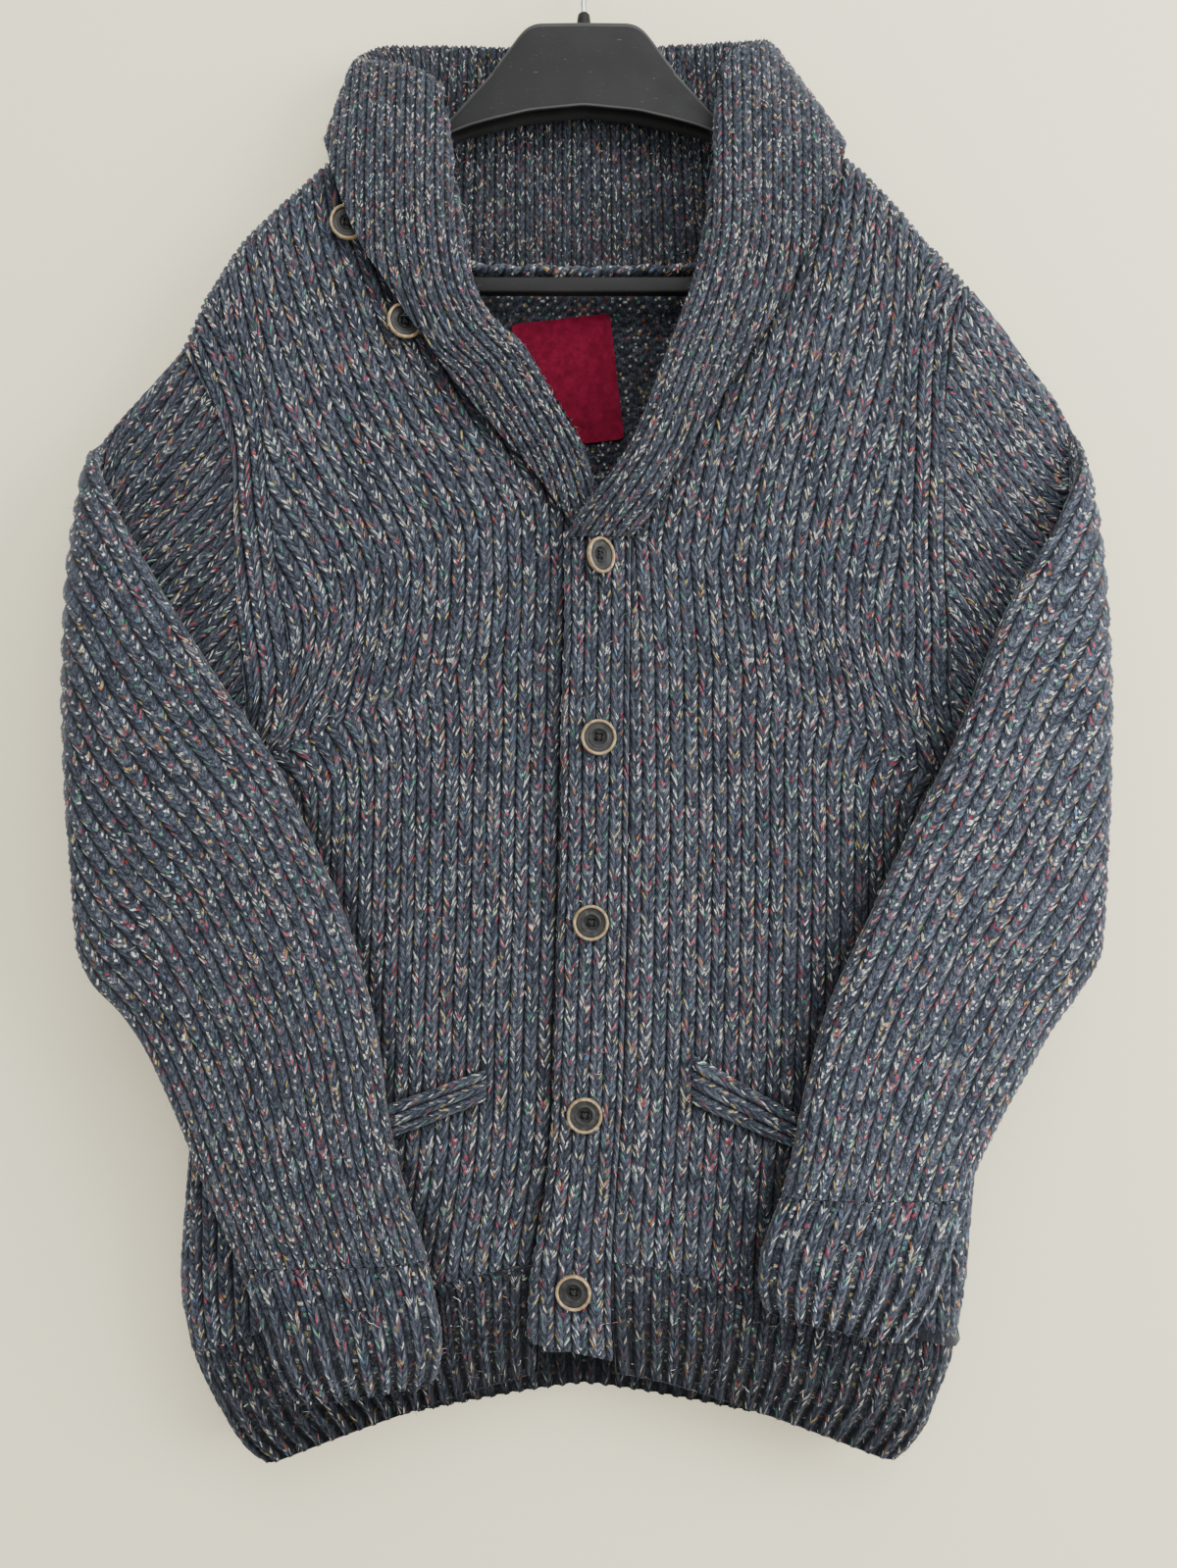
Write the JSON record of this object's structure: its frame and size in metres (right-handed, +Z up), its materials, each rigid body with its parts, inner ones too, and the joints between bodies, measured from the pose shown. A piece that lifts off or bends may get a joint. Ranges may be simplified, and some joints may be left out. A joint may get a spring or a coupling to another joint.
{
  "type": "shawl collar cardigan on a hanger",
  "caption": "Buttoned shawl collar cardigan in chunky marled knit, with ribbed hem and cuffs, hanging on a moulded clothes hanger.",
  "frame": {"origin": "inside top of the hanger's hook, where it rests on a rod", "axes": "+X to the viewer's right as the front is seen, -Y towards the viewer, +Z up along the garment's length"},
  "size_m": [0.5845, 0.0724, 0.8762],
  "materials": {
    "marled_knit": "matte, fuzzy marled wool",
    "button_horn": "satin horn look with a brassy rim",
    "label_woven": "matte woven",
    "hanger_plastic": "satin, slightly scuffed",
    "hook_steel": "bright drawn wire"
  },
  "bodies": {
    "root": {"back": "marled_knit", "band_buttonholes": "marled_knit", "band_buttons": "marled_knit", "button_collar_1": "button_horn", "button_collar_2": "button_horn", "button_front_1": "button_horn", "button_front_2": "button_horn", "button_front_3": "button_horn", "button_front_4": "button_horn", "button_front_5": "button_horn", "collar": "marled_knit", "cuff_left": "marled_knit", "cuff_right": "marled_knit", "front_left": "marled_knit", "front_right": "marled_knit", "hanger_bar": "hanger_plastic", "hanger_body": "hanger_plastic", "hanger_hook": "hook_steel", "hem_back": "marled_knit", "hem_front_left": "marled_knit", "hem_front_right": "marled_knit", "label": "label_woven", "sleeve_left": "marled_knit", "sleeve_right": "marled_knit", "welt_left": "marled_knit", "welt_right": "marled_knit"}
  },
  "joints": []
}
